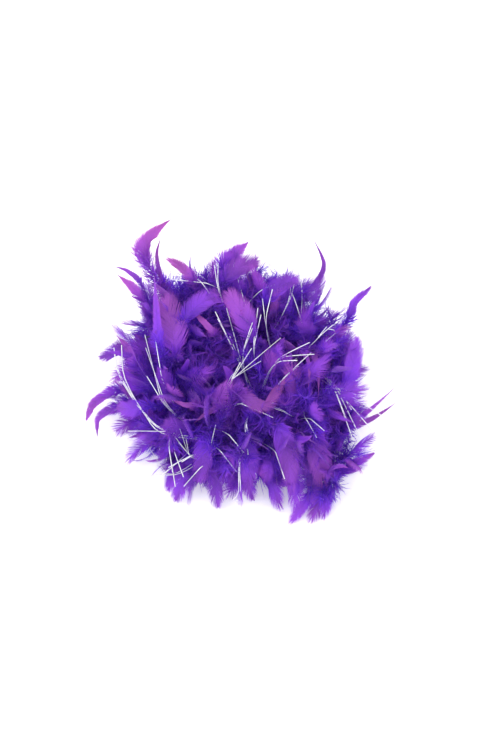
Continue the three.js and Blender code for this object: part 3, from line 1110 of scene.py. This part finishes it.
# Feathers that lie over the top of the coil with their faces up
laidFeathers = [
    plume([(-74, -8, 106), (-80, 26, 118), (-88, 59, 122)], 21, "round", 0.8),
    plume([(18, 12, 108), (4, 38, 122), (-12, 66, 126)], 17, "round", 0.74),
    plume([(-92, -4, 126), (-97, 42, 140), (-101, 88, 136)], 6, "pointed", 0.55),
    plume([(-6, -62, 114), (24, -76, 116), (48, -50, 118)], 9, "blunt", 0.86),
    plume([(40, -92, 104), (52, -118, 90), (58, -142, 52)], 15, "blunt", 0.6),
    plume([(78, -92, 82), (88, -112, 68), (94, -130, 46)], 17, "blunt", 0.7),
    plume([(-28, 20, 106), (-38, 30, 114), (-52, 44, 118)], 4.5, "blunt", 0.95),
    plume([(-52, 92, 112), (-68, 108, 118), (-84, 122, 116)], 7, "blunt", 1.0),
    plume([(118, -40, 84), (132, -8, 90), (138, 24, 94)], 12, "round", 0.35),
    plume([(-45, -76, 108), (-62, -74, 113), (-78, -66, 110)], 4, "pointed", 0.88),
    plume([(-20, -78, 110), (-38, -84, 110), (-52, -92, 102)], 3.5, "pointed", 0.84),
    plume([(84, 4, 102), (90, -24, 104), (90, -56, 98)], 3.5, "pointed", 0.86),
    plume([(74, 6, 104), (80, -20, 106), (78, -50, 100)], 3, "pointed", 0.8),
    plume([(-120, -8, 84), (-134, 20, 82), (-148, 40, 76)], 6, "pointed", 0.8),
    plume([(28, 62, 112), (46, 82, 118), (66, 96, 114)], 13, "round", 0.4),
    plume([(-40, -104, 96), (-42, -124, 80), (-46, -140, 56)], 13, "round", 0.4),
    plume([(-20, 88, 116), (-4, 104, 122), (18, 118, 120)], 15, "round", 0.66),
    plume([(6, -104, 98), (10, -126, 80), (8, -144, 52)], 14, "blunt", 0.3),
    plume([(-104, -66, 96), (-124, -64, 84), (-142, -52, 66)], 12, "round", 0.3),
    plume([(-66, 30, 120), (-48, 52, 126), (-30, 62, 124)], 15, "round", 0.5),
    plume([(48, -104, 70), (62, -130, 44), (64, -152, 18)], 15, "blunt", 0.35),
    plume([(-24, -110, 70), (-28, -134, 42), (-26, -154, 14)], 13, "round", 0.2),
    plume([(-54, -110, 66), (-66, -130, 40), (-74, -146, 14)], 13, "round", 0.3),
    plume([(70, -104, 66), (84, -126, 40), (84, -150, 20)], 13, "round", 0.4),
]


# The point of the climb or the upper turns that is nearest to a place in millimetres
def nearestOnCoil(place):
    share = np.linspace(gapAfter(17), upperJoint - 8 * mm, 900)
    nearest = share[np.argmin(np.linalg.norm(onCord(share) - np.array(place) * mm, axis=1))]
    return onCord(nearest)[0]


laidParts = []
for i, look in enumerate(laidFeathers):
    laidParts.append(longFeather(look, nearestOnCoil(look["through"][0]), 500 + i))
laidPiece = featherMesh("laid_feathers", laidParts, featherFinish)
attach(laidPiece, "coil")
print(f"laid feathers: {len(laidFeathers)}")


# Flat strips or round threads along lines: a row of profiles swept by one tree
def sweepTree():
    t = PieceTree("sweepAlong")
    width, thickness = t.input("Width", "Float"), t.input("Thickness", "Float")
    sides = t.input("Sides", "Int")
    finish = t.input("Finish", "Material")
    lines = t.add("GeometryNodeMeshToCurve")
    t.join(t.given.outputs["Geometry"], lines.inputs[0])
    ring = t.add("GeometryNodeCurvePrimitiveCircle")
    ring.inputs["Radius"].default_value = 0.5
    t.join(sides, ring.inputs["Resolution"])
    size = t.add("ShaderNodeCombineXYZ")
    t.join(width, size.inputs[0])
    t.join(thickness, size.inputs[1])
    profile = t.add("GeometryNodeTransform")
    t.join(ring.outputs[0], profile.inputs["Geometry"])
    t.join(size.outputs[0], profile.inputs["Scale"])
    sweep = t.add("GeometryNodeCurveToMesh")
    sweep.inputs["Fill Caps"].default_value = True
    t.join(lines.outputs[0], sweep.inputs["Curve"])
    t.join(profile.outputs[0], sweep.inputs["Profile Curve"])
    t.dress(sweep.outputs[0], finish)
    return t


sweeping = sweepTree()


def sweepLines(name, lines, width, thickness, sides, finish):
    mesh = bpy.data.meshes.new(name)
    points, edges = [], []
    for line in lines:
        edges += [(len(points) + i, len(points) + i + 1) for i in range(len(line) - 1)]
        points += [tuple(p) for p in line]
    mesh.from_pydata(points, edges, [])
    piece = bpy.data.objects.new(name, mesh)
    bpy.context.collection.objects.link(piece)
    sweeping.bake(piece, Width=width, Thickness=thickness, Sides=sides, Finish=finish)
    shape = bmesh.new()
    shape.from_mesh(piece.data)
    bmesh.ops.recalc_face_normals(shape, faces=shape.faces)
    shape.to_mesh(piece.data)
    shape.free()
    piece.data.polygons.foreach_set("use_smooth", np.ones(len(piece.data.polygons), bool))
    return piece


# Silver strands, in sprays. Each comes out of the cord, rises through the feathers at its
# first place, and lies over them to its last. Places are in millimetres.
tinsel = {
    "width": 1.15,
    "thickness": 0.5,
    "spread": 10.0,
    "bow": 0.06,
    "steps": 16,
    "sides": 4,
    "firstShift": 0.15,
    "rootShift": 0.25,
    "rise": 0.3,
    "shorter": 0.6,
    "lead": 0.25,
    "dip": 8,
    "farRoot": 150,
    "longestHidden": 75,
    "seed": 90,
}
sprays = {
    "tinsel_01": [
        [(-8, -42, 116), (14, -4, 122)],
        [(-8, -42, 116), (46, 10, 124)],
        [(-8, -42, 116), (24, -22, 122)],
        [(48, -16, 120), (84, 4, 118)],
        [(50, -40, 112), (84, -6, 112)],
        [(52, -14, 118), (88, -6, 112)],
    ],
    "tinsel_02": [
        [(-4, -3, 100), (-30, 44, 130)],
        [(-6, 0, 104), (-25, 36, 124)],
        [(-2, 2, 104), (-16, 50, 122)],
        [(16, 10, 112), (20, 48, 124)],
        [(4, 0, 112), (13, 28, 126)],
        [(-28, 84, 126), (-33, 118, 112)],
        [(2, 80, 108), (-12, 128, 110)],
    ],
    "tinsel_03": [
        [(-84, -104, 100), (-108, -76, 98), (-132, -30, 102), (-138, 18, 94)],
        [(-82, -100, 98), (-112, -70, 94), (-140, -22, 92), (-148, 12, 92)],
        [(-92, -56, 110), (-112, 20, 116)],
        [(-90, -34, 117), (-97, 10, 134)],
        [(-84, -100, 98), (-130, -84, 72)],
        [(-88, -60, 110), (-108, -2, 120)],
    ],
    "tinsel_04": [
        [(-59, -120, 84), (-80, -100, 104)],
        [(-60, -118, 86), (-69, -98, 106)],
        [(-87, -134, 68), (-103, -118, 90)],
        [(-80, -138, 64), (-112, -140, 66)],
        [(-79, -117, 84), (-71, -148, 54)],
        [(-55, -122, 82), (-83, -136, 80)],
        [(-45, -133, 72), (-64, -148, 56)],
        [(-86, -136, 64), (-99, -147, 56)],
        [(-72, -122, 80), (-62, -142, 68)],
    ],
    "tinsel_05": [
        [(-34, -116, 88), (-28, -94, 106)],
        [(-12, -104, 96), (4, -122, 90)],
        [(-22, -118, 86), (-3, -138, 78)],
        [(1, -121, 88), (-2, -150, 50), (-9, -154, 34)],
        [(8, -94, 98), (20, -142, 62)],
        [(6, -96, 98), (10, -124, 88)],
        [(40, -122, 88), (50, -144, 64)],
    ],
    "tinsel_06": [
        [(2, -70, 106), (38, -90, 108)],
        [(50, -80, 106), (24, -74, 112)],
        [(80, -84, 98), (96, -98, 98)],
        [(4, -68, 106), (36, -72, 114)],
        [(76, -86, 98), (88, -104, 90)],
    ],
    "tinsel_07": [
        [(112, 30, 98), (98, 14, 110)],
        [(112, -42, 92), (140, -88, 64)],
        [(112, -44, 92), (154, -80, 62)],
        [(110, -46, 92), (130, -92, 66)],
        [(114, -42, 92), (164, -62, 68)],
        [(96, 26, 102), (110, 38, 106)],
    ],
    "tinsel_08": [
        [(60, 84, 108), (34, 126, 110)],
        [(32, 46, 118), (40, 72, 132)],
        [(74, 104, 98), (66, 140, 108)],
        [(-40, 90, 114), (-82, 94, 118)],
        [(-46, 90, 116), (-76, 122, 112)],
        [(62, 82, 108), (74, 138, 104)],
        [(28, 84, 112), (60, 98, 116)],
    ],
}


# The point of the climb or the upper turns, not far off, from which a strand runs straightest
def strandRoot(first, second):
    share = np.linspace(gapAfter(16), upperJoint - 8 * mm, 600)
    way = (np.array(first) * mm)[None] - onCord(share)
    far = np.linalg.norm(way, axis=1)
    ahead = unit(np.array(second, float) - np.array(first, float))
    far = far + (far > tinsel["longestHidden"] * mm)
    return onCord(share[np.argmax((way @ ahead) / far - far / (tinsel["farRoot"] * mm))])[0]


# A strand of two places bends under the feathers, before the first, and then runs nearly straight.
def strandLine(root, places):
    if len(places) > 2:
        return lineThrough(root, places, tinsel["steps"])
    first, last = places * mm
    ahead = unit(last - first)
    dip = np.array([0, 0, tinsel["dip"] * mm])
    lead = first - tinsel["lead"] * np.linalg.norm(first - root) * ahead - dip
    t = np.linspace(0, 1, tinsel["steps"] // 2)[:-1, None]
    hidden = root * (1 - t) ** 2 + 2 * lead * t * (1 - t) + first * t * t
    t = np.linspace(0, 1, tinsel["steps"] // 2 + 1)[:, None]
    seen = first + (last - first) * t
    seen[:, 2] -= (tinsel["bow"] * np.linalg.norm(last - first) * t * t)[:, 0]
    return np.concatenate([hidden, seen])


for number, (name, lines) in enumerate(sprays.items()):
    draw = np.random.default_rng(tinsel["seed"] + number)
    strands = []
    for places in lines:
        root = strandRoot(places[0], places[1])
        for copy in range(1 + int(draw.integers(0, 2))):
            moved = np.array(places, float)
            shift = draw.normal(0, tinsel["spread"], 3) * (tinsel["firstShift"] + copy)
            grow = np.linspace(tinsel["rootShift"], 1, len(places))[:, None]
            moved = moved + shift * grow * np.array([1, 1, tinsel["rise"]])
            if copy:
                moved[-1] += (moved[-2] - moved[-1]) * draw.uniform(0, tinsel["shorter"])
            strands.append(strandLine(root, moved))
    width, thickness = tinsel["width"] * mm, tinsel["thickness"] * mm
    piece = sweepLines(name + "_spray", strands, width, thickness, tinsel["sides"], tinselFinish)
    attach(piece, "coil")
    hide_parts(name)
print(f"tinsel: {len(sprays)} sprays")


# Thread wound round the cord by each end, and an overhand knot in the end itself
whipping = {"from": 7.3, "to": 15.3, "radius": 3.0, "thread": 1.1, "pitch": 1.0, "perTurn": 14, "sides": 8}
knot = {"radius": 4.0, "rope": 3.6, "sides": 10, "centre": 2.2, "steps": 64, "open": 3}
fray = {"count": 26, "length": 7.0, "thread": 0.4, "sides": 4, "spread": 0.35, "scatter": 0.8}


def makeWhipping(name, start, end, body, node):
    line = windRound(start, end, whipping["radius"] * mm, whipping["pitch"] * mm, whipping["perTurn"])
    thread = whipping["thread"] * mm
    piece = sweepLines(name, [line], thread, thread, whipping["sides"], threadFinish)
    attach(piece, body)
    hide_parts(node)


# The knot is a trefoil that is left open, with a brush of loose threads at its outer side.
def makeKnot(name, at, outward, body, node, seed):
    draw = np.random.default_rng(seed)
    t = np.linspace(0, 2 * math.pi, knot["steps"], endpoint=False)[: knot["steps"] - knot["open"]]
    loops = [np.sin(t) + 2 * np.sin(2 * t), np.cos(t) - 2 * np.cos(2 * t), -1.3 * np.sin(3 * t)]
    loops = np.stack(loops, 1) / 3
    axis = alongCord(at)[0] * outward
    side = unit(np.cross(axis, (0, 0, 1.0)))
    up = np.cross(side, axis)
    centre = onCord(at)[0] - axis * knot["centre"] * mm
    line = centre + loops @ np.stack([side, up, axis]) * knot["radius"] * mm
    rope, thread, scatter = knot["rope"] * mm, fray["thread"] * mm, fray["scatter"] * mm
    piece = sweepLines(name, [line], rope, rope, knot["sides"], cordFinish)
    strands = []
    for _ in range(fray["count"]):
        way = unit(axis + draw.normal(0, fray["spread"], 3))
        root = centre + draw.normal(0, scatter, 3)
        reach = fray["length"] * mm * draw.uniform(0.7, 1.1)
        sag = draw.normal(0, scatter, 3)
        strands.append([root + way * reach * s + sag * s * s for s in (0.0, 0.35, 0.7, 1.0)])
    threads = sweepLines(name + "_frayed_threads", strands, thread, thread, fray["sides"], cordFinish)
    for made in (piece, threads):
        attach(made, body)
    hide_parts(node)


near, far = whipping["from"] * mm, whipping["to"] * mm
makeWhipping("lower_thread_winding", near, far, "lower_end", "lower_end_whipping")
makeWhipping("upper_thread_winding", cordLength - far, cordLength - near, "upper_end", "upper_end_whipping")
makeKnot("lower_overhand_knot", 0.0, -1, "lower_end", "lower_end_knot", 71)
makeKnot("upper_overhand_knot", cordLength, 1, "upper_end", "upper_end_knot", 72)
print("ends: windings and knots")
